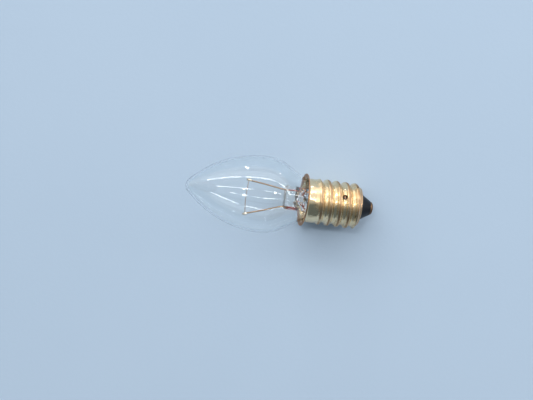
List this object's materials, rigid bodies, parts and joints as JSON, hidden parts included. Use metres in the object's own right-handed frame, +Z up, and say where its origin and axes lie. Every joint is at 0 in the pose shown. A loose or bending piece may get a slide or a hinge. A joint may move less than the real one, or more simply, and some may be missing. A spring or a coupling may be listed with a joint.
{
  "type": "candle bulb",
  "caption": "Clear candle-shaped incandescent lamp with a threaded brass screw cap, glass stem, wires and filament inside, lying on its side.",
  "frame": {"origin": "On the surface that the lamp lies on, below the middle of its bounding box.", "axes": "+Z up, +X from the glass tip to the cap's contact (the lamp's axis runs down 10.2 degrees towards the contact), +Y across."},
  "size_m": [0.0564, 0.023, 0.0233],
  "materials": {
    "clear_glass": "clear, gloss",
    "stem_glass": "clear, gloss",
    "lead_wire": "dull, heat-browned",
    "seal_wire": "red, glossy under glass",
    "copper_wire": "bare copper",
    "tungsten": "dark, matte",
    "cap_brass": "rolled, bright",
    "black_glass": "black, gloss",
    "contact_brass": "tarnished",
    "solder": "soft, dull",
    "cement": "matte"
  },
  "bodies": {
    "root": {"glass_envelope": "clear_glass", "stem_flare": "stem_glass", "exhaust_tube": "stem_glass", "inner_lead_side": "lead_wire", "inner_lead_centre": "lead_wire", "dumet_seal_side": "seal_wire", "dumet_seal_centre": "seal_wire", "outer_lead_side": "copper_wire", "outer_lead_centre": "copper_wire", "filament": "tungsten", "cap_shell": "cap_brass", "cap_insulator": "black_glass", "centre_contact": "contact_brass", "centre_solder": "solder", "side_solder": "solder", "basing_cement": "cement"}
  },
  "joints": []
}
